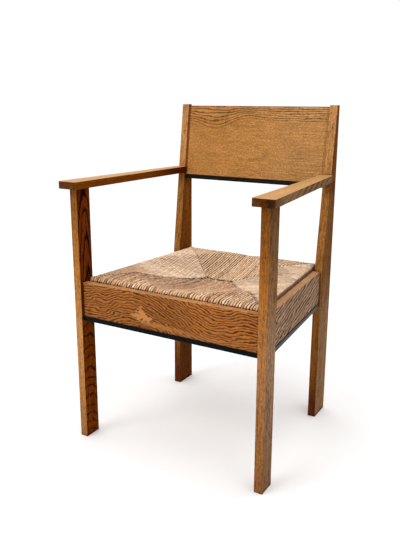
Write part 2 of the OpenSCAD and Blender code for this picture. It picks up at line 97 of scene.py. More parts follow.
class Graph:
    def __init__(self, name):
        self.mat = bpy.data.materials.new(name)
        self.mat.use_nodes = True
        self.t = self.mat.node_tree
        self.t.nodes.clear()
        self.co = None

    def new(self, kind, **props):
        n = self.t.nodes.new(kind)
        for k, v in props.items():
            setattr(n, k, v)
        return n

    def put(self, socket, value):
        if isinstance(value, Sock):
            self.t.links.new(value.s, socket)
        elif isinstance(value, (tuple, list)) and len(value) == 3 and socket.type == "RGBA":
            socket.default_value = (*value, 1)
        else:
            socket.default_value = value

    def math(self, op, a, b=None, c=None):
        n = self.new("ShaderNodeMath", operation=op)
        for i, x in enumerate((a, b, c)):
            if x is not None:
                self.put(n.inputs[i], x)
        return Sock(self, n.outputs[0])

    def sqrt(self, a):
        return self.math("SQRT", a)

    def abs(self, a):
        return self.math("ABSOLUTE", a)

    def floor(self, a):
        return self.math("FLOOR", a)

    def fract(self, a):
        return self.math("FRACT", a)

    def exp(self, a):
        return self.math("EXPONENT", a)

    def sin(self, a):
        return self.math("SINE", a)

    def min(self, a, b):
        return self.math("MINIMUM", a, b)

    def max(self, a, b):
        return self.math("MAXIMUM", a, b)

    def step(self, x, a, b, lo=0.0, hi=1.0):
        """lo below a, hi above b, smooth between; a may be above b."""
        if a > b:
            a, b, lo, hi = b, a, hi, lo
        n = self.new("ShaderNodeMapRange", interpolation_type="SMOOTHSTEP")
        self.put(n.inputs["Value"], x)
        for k, v in (("From Min", a), ("From Max", b), ("To Min", lo), ("To Max", hi)):
            n.inputs[k].default_value = v
        return Sock(self, n.outputs["Result"])

    def lin(self, x, a, b, lo=0.0, hi=1.0):
        n = self.new("ShaderNodeMapRange", interpolation_type="LINEAR", clamp=True)
        self.put(n.inputs["Value"], x)
        for k, v in (("From Min", a), ("From Max", b), ("To Min", lo), ("To Max", hi)):
            n.inputs[k].default_value = v
        return Sock(self, n.outputs["Result"])

    def vec(self, x, y, z):
        n = self.new("ShaderNodeCombineXYZ")
        for i, v in enumerate((x, y, z)):
            self.put(n.inputs[i], v)
        return Sock(self, n.outputs[0])

    def place(self):
        """The point in the frame's metres, which stays with the piece when it moves."""
        if self.co is None:
            tc = self.new("ShaderNodeTexCoord")
            sp = self.new("ShaderNodeSeparateXYZ")
            self.t.links.new(tc.outputs["Object"], sp.inputs[0])
            self.co = [Sock(self, o) for o in sp.outputs]
        return self.co

    def facing(self):
        ge = self.new("ShaderNodeNewGeometry")
        sp = self.new("ShaderNodeSeparateXYZ")
        self.t.links.new(ge.outputs["Normal"], sp.inputs[0])
        return [Sock(self, o) for o in sp.outputs]

    def noise(self, v, detail=2.0, rough=0.5, scale=1.0, dist=0.0):
        n = self.new("ShaderNodeTexNoise", noise_dimensions="3D")
        self.put(n.inputs["Vector"], v)
        n.inputs["Scale"].default_value = scale
        n.inputs["Detail"].default_value = detail
        n.inputs["Roughness"].default_value = rough
        n.inputs["Distortion"].default_value = dist
        return Sock(self, n.outputs[0])

    def rand(self, x):
        n = self.new("ShaderNodeTexWhiteNoise", noise_dimensions="1D")
        self.put(n.inputs["W"], x)
        return Sock(self, n.outputs["Value"])

    def mix(self, a, b, t, blend="MIX"):
        n = self.new("ShaderNodeMix", data_type="RGBA", blend_type=blend)
        self.put(n.inputs[0], t)
        self.put(n.inputs[6], a)
        self.put(n.inputs[7], b)
        return Sock(self, n.outputs[2])

    def scale(self, col, f):
        n = self.new("ShaderNodeVectorMath", operation="SCALE")
        self.put(n.inputs[0], col)
        self.put(n.inputs["Scale"], f)
        return Sock(self, n.outputs[0])

    def mul3(self, a, b):
        n = self.new("ShaderNodeVectorMath", operation="MULTIPLY")
        for i, x in enumerate((a, b)):
            self.put(n.inputs[i], x)
        return Sock(self, n.outputs[0])

    def attr(self, name):
        n = self.new("ShaderNodeAttribute", attribute_name=name)
        return Sock(self, n.outputs["Fac"])

    def bump(self, h, dist, strength=1.0):
        n = self.new("ShaderNodeBump")
        n.inputs["Strength"].default_value = strength
        n.inputs["Distance"].default_value = dist
        self.put(n.inputs["Height"], h)
        return Sock(self, n.outputs[0])

    def edge(self, radius=0.0022):
        """1 along arrises, 0 on the flats."""
        b = self.new("ShaderNodeBevel", samples=4)
        b.inputs["Radius"].default_value = radius
        ge = self.new("ShaderNodeNewGeometry")
        d = self.new("ShaderNodeVectorMath", operation="DOT_PRODUCT")
        self.t.links.new(b.outputs[0], d.inputs[0])
        self.t.links.new(ge.outputs["True Normal"], d.inputs[1])
        return self.step(Sock(self, d.outputs["Value"]), 0.995, 0.80)

    def corner_shade_and_wax(self, dist=0.012, low=0.35):
        """Painted shade in the inside corners, with old wax and dust: low in a corner, 1 in the open."""
        a = self.new("ShaderNodeAmbientOcclusion", samples=6)
        a.inputs["Distance"].default_value = dist
        return self.step(Sock(self, a.outputs["AO"]), 0.35, 0.92, low, 1.0)

    def finish(self, colour, rough, normal=None, metallic=0.0, specular=0.5, coat=0.0, coat_rough=0.3,
               sheen=0.0, sheen_rough=0.6, glow=0.0, tint=(1.0, 1.0, 1.0)):
        p = self.new("ShaderNodeBsdfPrincipled")
        self.put(p.inputs["Base Color"], colour)
        self.put(p.inputs["Roughness"], rough)
        p.inputs["Metallic"].default_value = metallic
        p.inputs["Emission Color"].default_value = (1, 1, 1, 1)
        p.inputs["Emission Strength"].default_value = glow
        self.put(p.inputs["Specular IOR Level"], specular)
        p.inputs["Specular Tint"].default_value = (*tint, 1)
        p.inputs["Coat Weight"].default_value = coat
        p.inputs["Coat Roughness"].default_value = coat_rough
        p.inputs["Sheen Weight"].default_value = sheen
        p.inputs["Sheen Roughness"].default_value = sheen_rough
        if normal is not None:
            self.put(p.inputs["Normal"], normal)
        out = self.new("ShaderNodeOutputMaterial")
        self.t.links.new(p.outputs[0], out.inputs[0])
        return self.mat


def box_of(node):
    lo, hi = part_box(node)
    return lo, hi, (lo + hi) / 2


# ---------------------------------------------------------------- oak
# Each face of a board has its own colour, with the light and shade on each side painted in: the outsides of the legs,
# arms and side rails have faded to a greyer brown, the insides are dark with painted shade, the tops are painted
# lighter and the undersides darker.
FACES = ("front", "back", "top", "under", "outer", "inner")


def local(g, node, grain):
    """Board coordinates in metres from its centre: along the grain, across, through."""
    lo, hi, mid = box_of(node)
    p = [g.place()[i] - mid[i] for i in range(3)]
    order = {"x": (0, 2, 1), "y": (1, 0, 2), "z": (2, 1, 0)}[grain]
    return [p[i] for i in order]


def rings(g, u, v, w, v0, w0, tilt, gap, wob, seed):
    """Growth rings round a pith that lies v0 across and w0 through from the middle."""
    s = seed * 7.31
    n1 = g.noise(g.vec(u * 5 + s, v * 16, w * 16), 2) - 0.5
    n2 = g.noise(g.vec(u * 26 + s, v * 60, w * 60), 2) - 0.5
    a = v - v0 + n1 * wob
    b = w - w0 + u * tilt + n1 * (wob * 0.7)
    r = g.sqrt(a * a + b * b)
    return (r + n2 * (wob * 0.16)) / gap


def bands(g, q, soft=0.5, seed=0.0):
    """Dark earlywood lines of a ring coordinate: sharp on one side, fading on the other."""
    i = g.floor(q)
    f = g.fract(q)
    rnd = g.rand(i + (seed * 13.7 + 0.5))
    fall = g.math("MULTIPLY", g.step(f, soft, 0.0), rnd * 0.55 + 0.55)
    rise = g.step(f, 0.90, 1.0) * 0.8
    return g.math("MAXIMUM", fall, rise), rnd


def oak(name, nodes, grain, faces, seed, side=1, pith=(0.012, 0.045), tilt=0.09, gap=0.0042, wob=0.02,
        figure=None, contrast=0.6, fleck=0.95, streak=1.1, dark=(0.30, 0.22, 0.16), light=(1.30, 1.34, 1.36),
        rough=0.46, soft=0.5, edge_tone=1.18, extra=None,
        lines=(1, 1, 1, 1, 1, 1), flecks=(1, 1, 1, 1, 1, 1), inner_tone=None, corner=0.009,
        inner_figure=None):
    """lines and flecks say how strongly they show on each face, in the order of FACES."""
    g = Graph(name)
    u, v, w = local(g, nodes[0], grain)
    X, Y, Z = g.place()
    N = g.facing()
    s = seed * 3.17
    if figure is None:
        q = rings(g, u, v, w, pith[0], pith[1], tilt, gap, wob, seed)
        amount = 1.0
    else:
        q, amount = figure(g, X, Y, Z, u, v, w)
    line, rnd = bands(g, q, soft, seed)
    sx = N[0] * float(side)
    masks = {key: g.step(weight, 0.45, 0.75)
             for key, weight in (("back", N[1]), ("top", N[2]), ("under", -N[2]), ("outer", sx), ("inner", -sx))}

    def by_face(values):
        values = dict(zip(FACES, values))
        out = float(values["front"])
        for key, m in masks.items():
            if values[key] != values["front"]:
                out = m * float(values[key]) + (1.0 - m) * out
        return out

    if inner_figure is not None:
        q2, m2 = inner_figure(g, X, Y, Z)
        line2, _ = bands(g, q2, 0.34, seed + 0.5)
        m2 = m2 * masks["inner"]
        line = line2 * m2 * 0.62 + line * (1.0 - m2)
    amount = by_face(lines) * amount
    # fine pores and rays, long with the grain
    pores = g.noise(g.vec(u * 95 + s, v * 620, w * 620), 3, 0.65)
    long_ = g.noise(g.vec(u * 7 + s, v * 210, w * 210), 3, 0.6)
    ray = g.noise(g.vec(u * 150 - s, v * 260, w * 260), 2, 0.65)
    broad = g.noise(g.vec(u * 3.1 + s * 2, v * 11, w * 11), 2)
    dash = g.noise(g.vec(u * 58 + s, v * 245, w * 245), 2, 0.6)
    value = (1.0 - line * amount * contrast) + (pores - 0.5) * fleck + (long_ - 0.5) * streak \
        + (dash - 0.5) * (fleck * 1.7) * by_face(flecks) + (ray - 0.5) * fleck + (rnd - 0.5) * 0.10
    level = g.lin(value, 0.15, 1.25)
    tone = g.mix(dark, light, level)
    if inner_tone is not None:
        tone = g.mix(tone, g.mix(inner_tone[0], inner_tone[1], level), masks["inner"])
    col = faces["front"]
    for key, m in masks.items():
        col = g.mix(col, faces[key], m)
    col = g.mul3(col, tone)
    col = g.scale(col, (broad - 0.5) * 0.42 + 1.0)
    if extra is not None:
        col = extra(g, col, X, Y, Z, u, v, w, N)
    # a mottled warmth, as in old wax
    warm = g.noise(g.vec(X * 38, Y * 38, Z * 38), 3, 0.6)
    col = g.mul3(col, g.mix((0.94, 0.97, 1.03), (1.06, 1.03, 0.97), warm))
    e = g.edge()
    wear = g.noise(g.vec(X * 55 + 3.0, Y * 55, Z * 55), 3, 0.7)
    rub = e * g.step(wear, 0.36, 0.62)
    col = g.mul3(col, g.mix((1.0, 1.0, 1.0), (edge_tone, edge_tone * 0.99, edge_tone * 0.96), rub))
    # painted shade in the inside corners and joints, with old wax
    col = g.mul3(col, g.mix((0.30, 0.18, 0.12), (1.0, 1.0, 1.0), g.corner_shade_and_wax(corner)))
    r = (pores - 0.5) * 0.25 + rough + (warm - 0.5) * 0.16 - rub * 0.06
    h = line * amount * -0.55 + (pores - 0.5) * 1.4 + (long_ - 0.5) * 0.9
    return g.finish(col, r, g.bump(h, 0.00022, 0.8), specular=by_face((0.09, 0.09, 0.06, 0.02, 0.005, 0.0)),
                    tint=(1.0, 0.72, 0.42))


def paint(node, mat):
    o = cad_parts[node]
    for i in range(len(o.data.materials)):
        o.material_slots[i].link = "OBJECT"
        o.material_slots[i].material = mat


def ease(node, width, segments=2):
    """Eased arrises on a board: its flat faces are joined up again, then its edges rounded."""
    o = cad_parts[node]
    m = o.modifiers.new("weld", "WELD")
    m.merge_threshold = 2e-6
    m = o.modifiers.new("flat", "DECIMATE")
    m.decimate_type = "DISSOLVE"
    m.angle_limit = math.radians(0.6)
    m = o.modifiers.new("ease", "BEVEL")
    m.limit_method = "ANGLE"
    m.angle_limit = math.radians(42)
    m.width = width
    m.segments = segments
    m.use_clamp_overlap = True
    m.harden_normals = False
    m.profile = 0.5


def f6(front, back, top, under, outer, inner):
    return dict(zip(FACES, (front, back, top, under, outer, inner)))


# per-face colours with the light and shade painted in: tops lighter, undersides and insides darker
LEG_SHADED_FACES = f6((0.345, 0.130, 0.026), (0.34, 0.14, 0.03), (0.42, 0.19, 0.06), (0.12, 0.055, 0.02), (0.200, 0.107, 0.053), (0.078, 0.0145, 0.0016))
POST_SHADED_FACES = f6((0.345, 0.140, 0.031), (0.34, 0.14, 0.03), (0.44, 0.20, 0.07), (0.12, 0.055, 0.02), (0.155, 0.068, 0.024), (0.165, 0.052, 0.008))
ARM_SHADED_FACES = f6((0.085, 0.026, 0.003), (0.22, 0.09, 0.02), (0.51, 0.268, 0.104), (0.20, 0.085, 0.02), (0.120, 0.061, 0.022), (0.135, 0.035, 0.003))
RAIL_SHADED_FACES = f6((0.235, 0.077, 0.0155), (0.27, 0.10, 0.02), (0.355, 0.148, 0.052), (0.15, 0.06, 0.02), (0.24, 0.125, 0.065), (0.16, 0.06, 0.012))
SIDE_RAIL_SHADED_FACES = dict(RAIL_SHADED_FACES, top=(0.358, 0.181, 0.077), outer=(0.262, 0.162, 0.100))
PANEL_SHADED_FACES = f6((0.362, 0.166, 0.050), (0.36, 0.16, 0.04), (0.46, 0.23, 0.08), (0.18, 0.08, 0.02), (0.25, 0.12, 0.04), (0.25, 0.12, 0.04))


def front_figure(g, X, Y, Z, u, v, w):
    """Flat-sawn figure of the front rail: wavy lines that rise to an arch left of the
    middle and run down to the right, round a light heart near the lower edge."""
    lo, hi, mid = box_of("front_rail")
    x = X * 1000.0
    z = (Z - float(hi.z)) * 1000.0          # 0 at the top edge, -88 at the bottom
    n1 = g.noise(g.vec(x / 38.0, z / 15.0, 1.7), 2, 0.5) - 0.5
    n2 = g.noise(g.vec(x / 20.0, z / 7.0, 5.1), 2, 0.55) - 0.5
    n3 = g.noise(g.vec(x / 60.0, z / 40.0, 9.3), 1, 0.5) - 0.5
    dx = x + 72.0
    bend = g.sqrt(dx * dx + 900.0)
    fall = dx * 0.13 + bend * 0.33
    # towards the right end the lines flatten out
    flat = g.step(x, 70.0, 230.0)
    fall = fall - flat * (x - 70.0) * 0.42
    q = z + fall + n1 * 18.0 + n2 * 3.2 + n3 * 16.0
    # a dip in the lines near the left end
    q = q + g.exp(-((x + 175.0) * (x + 175.0)) / 900.0) * 8.0
    return q / 6.7, 1.0


def front_extra(g, col, X, Y, Z, u, v, w, N):
    """The light heart, and the plainer pale band along the lower edge."""
    lo, hi, mid = box_of("front_rail")
    x = X * 1000.0
    z = (Z - float(hi.z)) * 1000.0
    n = g.noise(g.vec(x / 13.0, z / 9.0, 2.2), 3, 0.55) - 0.5
    a = (x + 64.0) / 31.0
    b = (z + 59.0 + (x + 64.0) * 0.16) / 11.0
    a2 = (x + 70.0) / 9.0
    b2 = (z + 46.0) / 11.0
    ragged = g.min(a * a + b * b, a2 * a2 + b2 * b2)
    heart = g.step(ragged + n * 7.0, 0.85, 0.45)
    c = (x + 10.0) / 70.0
    d = (z + 75.0 + (x + 10.0) * 0.04) / 8.0
    band = g.step(c * c + d * d + n * 3.4, 1.1, 0.2) * 0.50
    e = (x - 110.0) / 130.0
    f = (z + 80.0) / 10.0
    band2 = g.step(e * e + f * f + n * 4.0, 1.0, 0.1) * 0.28
    m = g.max(g.max(heart, band), band2) * g.step(-N[1], 0.5, 0.8)
    fine = g.noise(g.vec(x / 6.0, z / 1.6, 3.3), 2, 0.6)
    pale = g.scale(g.mix((0.37, 0.150, 0.044), (0.50, 0.225, 0.075), fine), 1.0)
    col = g.scale(col, 1.0 - g.step(g.abs(x + 10.0), 95.0, 40.0) * 0.14)
    col = g.mix(col, pale, m * 0.95)
    # painted shade in the gaps at both ends, where the rail meets the legs
    ends = g.step(g.abs(x), 242.5, 245.5) * g.step(-N[1], 0.5, 0.8)
    return g.mul3(col, g.mix((1.0, 1.0, 1.0), (0.30, 0.20, 0.15), ends))


def side_figure(side):
    def figure(g, X, Y, Z, u, v, w):
        """Long lines that climb towards the back, with a rough patch low at the front."""
        y = Y * 1000.0
        z = Z * 1000.0
        n1 = g.noise(g.vec(y / 70.0, z / 18.0, 3.0 * side), 2, 0.5) - 0.5
        n2 = g.noise(g.vec(y / 16.0, z / 7.0, 8.0 * side), 2, 0.55) - 0.5
        q = z - y * 0.22 + n1 * 22.0 + n2 * 3.6
        rough_ = g.step(y, -60.0, -150.0) * g.step(z, 385.0, 350.0)
        q = q + rough_ * n2 * 22.0
        return q / 10.2, 1.0
    return figure


def panel_figure(g, X, Y, Z, u, v, w):
    """A wavy band of lines along the top, over plain fine-flecked oak."""
    lo, hi, mid = box_of("backrest_panel")
    x = X * 1000.0
    d = (float(hi.z) - Z) * 1000.0
    n1 = g.noise(g.vec(x / 55.0, d / 14.0, 4.0), 2, 0.5) - 0.5
    n2 = g.noise(g.vec(x / 15.0, d / 5.0, 6.0), 2, 0.55) - 0.5
    gx = (x + 125.0) / 58.0
    g2 = (x + 20.0) / 46.0
    dip = g.exp(gx * gx * -1.0) * 0.62 - g.exp(g2 * g2 * -1.0) * 0.20
    f = d / (dip + 1.0) + n1 * 9.0 + n2 * 3.2
    amount = g.step(f, 46.0, 31.0) * 0.92 + 0.10
    return f / 6.2, amount


def panel_extra(g, col, X, Y, Z, u, v, w, N):
    x = X * 1000.0
    z = Z * 1000.0
    fleck = g.noise(g.vec(x / 4.6, z / 3.0, 1.0), 3, 0.75)
    wave = g.noise(g.vec(x / 30.0, z / 6.0, 12.0), 3, 0.6, dist=0.7)
    cloud = g.noise(g.vec(x / 60.0, z / 22.0, 3.0), 2, 0.5)
    mid_ = g.step(g.abs(x + 10.0), 130.0, 30.0)
    col = g.scale(col, (fleck - 0.5) * 1.95 + 1.0)
    col = g.scale(col, (wave - 0.5) * (mid_ * 0.70 + 0.22) + 1.0)
    col = g.scale(col, (cloud - 0.5) * 0.55 + 1.0)
    # thin lines that run on at the right
    n = g.noise(g.vec(x / 70.0, z / 20.0, 7.0), 1) - 0.5
    thin, r_ = bands(g, (z + n * 12.0) / 9.0, 0.30, 3.0)
    col = g.scale(col, 1.0 - thin * g.step(x, 60.0, 130.0) * 0.30)
    # a little paler and duller towards the right, where a sheen is painted, and warmer towards the left
    t = g.step(X, -0.10, 0.20)
    col = g.mul3(col, g.mix((0.94, 0.89, 0.76), (1.04, 1.10, 1.22), t))
    top = g.step(Z, 0.815, 0.835)
    col = g.mul3(col, g.mix((1.0, 1.0, 1.0), (1.14, 1.18, 1.28), top))
    # painted shade in the gaps where it meets the posts
    col = g.mul3(col, g.mix((1.0, 1.0, 1.0), (0.45, 0.25, 0.18), g.step(x, -206.8, -208.0)))
    return g.mul3(col, g.mix((1.0, 1.0, 1.0), (0.80, 0.72, 0.62), g.step(x, 207.2, 208.2)))


def arm_extra(side):
    def extra(g, col, X, Y, Z, u, v, w, N):
        """Slanting saw and ray marks across the outer edge of an arm, and a dark mottled front end."""
        y = Y * 1000.0
        z = Z * 1000.0
        n = g.noise(g.vec(y / 24.0, z / 9.0, 4.4), 2, 0.5) - 0.5
        on = g.step(N[0] * float(side), 0.5, 0.8)
        mark, _ = bands(g, (y - z * 2.3) / 50.0 + n * 0.55, 0.70, 2.0)
        m = mark * on
        col = g.mul3(col, g.mix((1.0, 1.0, 1.0), (1.42, 1.50, 1.70), on))
        col = g.mul3(col, g.mix((1.0, 1.0, 1.0), (0.62, 0.56, 0.50), on * g.step(Y, -0.19, -0.235)))
        col = g.mul3(col, g.mix((1.0, 1.0, 1.0), (0.15, 0.13, 0.11), m * g.step(Y, -0.16, 0.06, 0.3, 1.0)))
        spots = g.noise(g.vec(X * 75, Y * 75, Z * 90), 2, 0.5)
        end = g.step(-N[1], 0.5, 0.8)
        if side > 0:
            col = g.mul3(col, g.mix((1.0, 1.0, 1.0), g.mix((1.20, 1.20, 0.85), (0.50, 0.34, 0.30), g.step(X, 0.222, 0.290)), end))
        col = g.mul3(col, g.mix((1.0, 1.0, 1.0), (0.42, 0.32, 0.30), g.step(spots, 0.44, 0.62) * end * (1.0 if side > 0 else 0.45)))
        # painted shade: the inner edge is darker and redder towards the post
        back = g.step(Y, 0.02, 0.17) * g.step(-N[0] * float(side), 0.5, 0.8)
        return g.mul3(col, g.mix((1.0, 1.0, 1.0), (0.55, 0.38, 0.40), back))
    return extra


def scallops(node):
    """Flat arches across the inner face of a leg below the seat, closer together near the floor."""
    mid = box_of(node)[2]

    def figure(g, X, Y, Z):
        t = (Y - mid[1]) / 0.024
        z = Z * 1000.0
        down = (340.0 - z) / 10.0
        n = g.noise(g.vec(t * 1.3, z / 24.0, 2.0), 2, 0.55) - 0.5
        m = g.noise(g.vec(0.5, z / 45.0, 7.0), 1) - 0.5
        arch = t * t * -11.0 - t * (g.step(Z, 0.24, 0.10) * 7.0 + 2.0) + n * 20.0 + m * 22.0
        q = down / -3.3 - down * down * 0.0020 - arch / 27.0
        return q, g.step(Z, 0.37, 0.33)
    return figure


def leg_extra(low, high):
    def extra(g, col, X, Y, Z, u, v, w, N):
        """The narrow front edge is paler near the floor and browner under the arm."""
        f = g.step(-N[1], 0.5, 0.8)
        col = g.mul3(col, g.mix((1.0, 1.0, 1.0), g.mix(low, high, g.step(Z, 0.24, 0.52)), f))
        inner = g.step(-N[0] * g.math("SIGN", X), 0.5, 0.8)
        outer = g.step(N[0] * g.math("SIGN", X), 0.5, 0.8)
        up_ = g.step(Z, 0.30, 0.50)
        col = g.mul3(col, g.mix((1.0, 1.0, 1.0), (0.84, 0.70, 0.80), up_ * inner))
        col = g.mul3(col, g.mix((1.0, 1.0, 1.0), (0.77, 0.64, 0.47), up_ * outer))
        col = g.mul3(col, g.mix((1.0, 1.0, 1.0), (0.88, 0.84, 0.60), g.step(Z, 0.42, 0.30) * inner))
        # darker towards the arm, where the arm's shade is painted, and towards the floor
        seen = 1.0 - inner
        hi_ = g.step(Z, 0.36, 0.44)
        col = g.mul3(col, g.mix((1.0, 1.0, 1.0), g.mix((1.20, 1.30, 1.50), (0.62, 0.58, 0.48), g.lin(Z, 0.45, 0.655)), hi_ * seen))
        col = g.mul3(col, g.mix((1.0, 1.0, 1.0), g.mix((0.76, 0.72, 0.67), (1.15, 1.22, 1.38), g.lin(Z, 0.03, 0.31)), (1.0 - hi_) * seen))
        foot = g.noise(g.vec(X * 70, Y * 70, Z * 40), 3, 0.6)
        return g.mul3(col, g.mix((1.0, 1.0, 1.0), (0.42, 0.36, 0.32), g.step(Z, 0.012, 0.001) * g.step(foot, 0.35, 0.6)))
    return extra


def post_extra(g, col, X, Y, Z, u, v, w, N):
    """The front edge is pale beside the backrest and dark below the seat, where the shade under the seat is painted."""
    f = g.step(-N[1], 0.5, 0.8)
    t = g.mix(g.mix((0.50, 0.40, 0.24), (0.77, 0.76, 0.78), g.step(Z, 0.22, 0.46)), (1.07, 1.24, 1.82), g.step(Z, 0.60, 0.74))
    col = g.mul3(col, g.mix((1.0, 1.0, 1.0), t, f))
    i = 1.0 - f
    inner = g.step(-N[0] * g.math("SIGN", X), 0.5, 0.8)
    low = g.step(Z, 0.40, 0.26)
    col = g.mul3(col, g.mix((1.0, 1.0, 1.0), (0.55, 0.52, 0.78), low * inner))
    col = g.mul3(col, g.mix((1.0, 1.0, 1.0), (1.30, 1.52, 1.90), low * (i - inner)))
    col = g.mul3(col, g.mix((1.0, 1.0, 1.0), (0.48, 0.28, 0.22), g.step(Z, 0.15, 0.03) * f))
    high = g.step(Z, 0.60, 0.72)
    col = g.mul3(col, g.mix((1.0, 1.0, 1.0), (0.86, 0.80, 0.62), high * inner))
    outer = i - inner
    # a darker band of painted shade at the height of the arm
    col = g.mul3(col, g.mix((1.0, 1.0, 1.0), (0.66, 0.56, 0.42), g.step(Z, 0.605, 0.655) * g.step(Z, 0.668, 0.662)))
    col = g.mul3(col, g.mix((1.0, 1.0, 1.0), (0.90, 0.78, 0.42), g.step(Z, 0.36, 0.46) * outer))
    col = g.mul3(col, g.mix((1.0, 1.0, 1.0), (0.84, 0.70, 0.20), high * outer))
    foot = g.noise(g.vec(X * 70, Y * 70, Z * 40), 3, 0.6)
    return g.mul3(col, g.mix((1.0, 1.0, 1.0), (0.42, 0.36, 0.32), g.step(Z, 0.012, 0.001) * g.step(foot, 0.35, 0.6)))


for side, tag in ((-1, "left"), (1, "right")):
    left = side < 0
    paint(f"front_leg_{tag}", oak(f"oak_leg_{tag}", [f"front_leg_{tag}"], "z", LEG_SHADED_FACES, 1.0 if left else 2.0, side,
                                  pith=(0.004, -side * 0.030), tilt=0.085 * side, gap=0.0050, wob=0.020, contrast=1.0,
                                  lines=(0.14, 0.35, 0.3, 0.3, 0.5 if left else 0.22, 1.25),
                                  flecks=(0.45, 0.6, 0.6, 1, 0.7, 0.5), streak=1.7, fleck=1.5,
                                  inner_tone=((0.20, 0.20, 0.26), (2.3, 2.8, 3.2)), inner_figure=scallops(f"front_leg_{tag}"),
                                  extra=leg_extra((1.0, 1.14, 1.60), (0.77, 0.70, 0.47)) if left
                                  else leg_extra((0.76, 0.80, 1.15), (0.64, 0.53, 0.36))))
    paint(f"back_post_{tag}", oak(f"oak_post_{tag}", [f"back_post_{tag}"], "z", POST_SHADED_FACES, 3.0 if left else 4.0, side,
                                  pith=(0.05, side * 0.05), tilt=0.03, gap=0.0050, wob=0.014, contrast=0.9,
                                  lines=(0.25, 0.5, 0.3, 0.3, 0.6, 0.9), flecks=(0.45, 0.6, 0.6, 1, 0.7, 0.6), streak=1.9, fleck=1.4,
                                  extra=post_extra))
    paint(f"armrest_{tag}", oak(f"oak_arm_{tag}", [f"armrest_{tag}"], "y", ARM_SHADED_FACES, 5.0 if left else 6.0, side,
                                pith=(0.06, 0.05), tilt=0.02, gap=0.0045, wob=0.012, contrast=0.35, fleck=0.5,
                                streak=0.6, lines=(1, 1, 0.3, 1, 1, 1), flecks=(1, 1, 0.6, 1, 1, 1),
                                extra=arm_extra(side)))
    paint(f"side_rail_{tag}", oak(f"oak_side_rail_{tag}", [f"side_rail_{tag}"], "y", SIDE_RAIL_SHADED_FACES, 7.0 if left else 8.0, side,
                                  figure=side_figure(side), contrast=1.15, soft=0.75, fleck=0.6, streak=0.6,
                                  dark=(0.30, 0.24, 0.20), light=(1.50, 1.50, 1.50),
                                  lines=(1, 1, 0.12, 0.4, 1.15, 0.8), flecks=(0.4, 0.4, 0.6, 1, 0.3, 0.6)))
paint("front_rail", oak("oak_front_rail", ["front_rail"], "x", RAIL_SHADED_FACES, 9.0, 1, figure=front_figure, contrast=1.2,
                        soft=0.66, dark=(0.34, 0.24, 0.16), light=(1.66, 1.80, 1.92), streak=0.45, fleck=0.8,
                        lines=(1, 0.8, 0.10, 0.4, 1, 1), flecks=(0.40, 0.6, 1, 1, 1, 1), extra=front_extra))
paint("back_rail", oak("oak_back_rail", ["back_rail"], "x", RAIL_SHADED_FACES, 10.0, 1, pith=(0.0, 0.045), tilt=0.06, gap=0.006,
                       contrast=1.0, lines=(1, 1, 0.15, 0.4, 1, 1)))
paint("backrest_panel", oak("oak_panel", ["backrest_panel"], "x", PANEL_SHADED_FACES, 11.0, 1, figure=panel_figure, contrast=1.1,
                            soft=0.55, fleck=0.85, streak=0.30, lines=(1, 1, 0.10, 0.3, 0.3, 0.3),
                            flecks=(0.30, 0.6, 0.3, 1, 1, 1), extra=panel_extra, rough=0.42, corner=0.0035))
for n in ("front_leg_left", "front_leg_right", "back_post_left", "back_post_right"):
    ease(n, 0.0011, 3)
for n in ("armrest_left", "armrest_right"):
    ease(n, 0.0017, 3)
for n in ("front_rail", "back_rail", "side_rail_left", "side_rail_right"):
    ease(n, 0.0009, 2)
ease("backrest_panel", 0.0012, 3)


# ---------------------------------------------------------------- dark strips
def black(name, node, grain):
    g = Graph(name)
    u, v, w = local(g, node, grain)
    X, Y, Z = g.place()
    N = g.facing()
    grain_ = g.noise(g.vec(u * 30, v * 700, w * 700), 3, 0.6)
    patch = g.noise(g.vec(X * 26, Y * 26, Z * 60), 3, 0.6)
    dark_, pale_ = ((0.003, 0.0022, 0.0012), (0.016, 0.013, 0.008)) if node == "backrest_strip" \
        else ((0.0, 0.0013, 0.0018), (0.0012, 0.0048, 0.0058))
    col = g.mix(dark_, pale_, g.lin(grain_, 0.35, 0.75))
    # painted reflection: the faces turned to the sides are greyer
    out = g.step(g.abs(N[0]), 0.5, 0.8)
    col = g.mix(col, g.mix((0.024, 0.025, 0.022), (0.054, 0.052, 0.045), grain_), out * 0.9)
    rub = g.edge(0.0016) * g.step(patch, 0.40, 0.62)
    col = g.mix(col, (0.10, 0.075, 0.05), rub * 0.35)
    r = (patch - 0.5) * 0.3 + 0.42
    return g.finish(col, r, g.bump(grain_, 0.00015, 0.7), specular=0.05)


for n, ax in (("front_rail_strip", "x"), ("back_rail_strip", "x"), ("backrest_strip", "x"),
              ("side_strip_left", "y"), ("side_strip_right", "y")):
    paint(n, black("ebonised_" + n, n, ax))
    ease(n, 0.0011, 3)


# ---------------------------------------------------------------- hidden woodwork and screws
def beech(name, node, grain, tint=(0.50, 0.34, 0.17)):
    g = Graph(name)
    u, v, w = local(g, node, grain)
    X, Y, Z = g.place()
    q = rings(g, u, v, w, 0.03, 0.05, 0.03, 0.005, 0.01, 20.0)
    line, rnd = bands(g, q, 0.7)
    fine = g.noise(g.vec(u * 60, v * 800, w * 800), 3, 0.6)
    saw = g.noise(g.vec(u * 260, v * 30, w * 30), 1)
    value = (1.0 - line * 0.35) + (fine - 0.5) * 0.35 + (saw - 0.5) * 0.12
    dusty = g.noise(g.vec(X * 30, Y * 30, Z * 30), 3, 0.6)
    col = g.scale(g.mix(tuple(c * 0.62 for c in tint), tuple(c * 1.12 for c in tint), g.lin(value, 0.4, 1.2)), (dusty - 0.5) * 0.35 + 1.0)
    return g.finish(col, (fine - 0.5) * 0.2 + 0.68, g.bump(value, 0.0002, 0.6), specular=0.3)


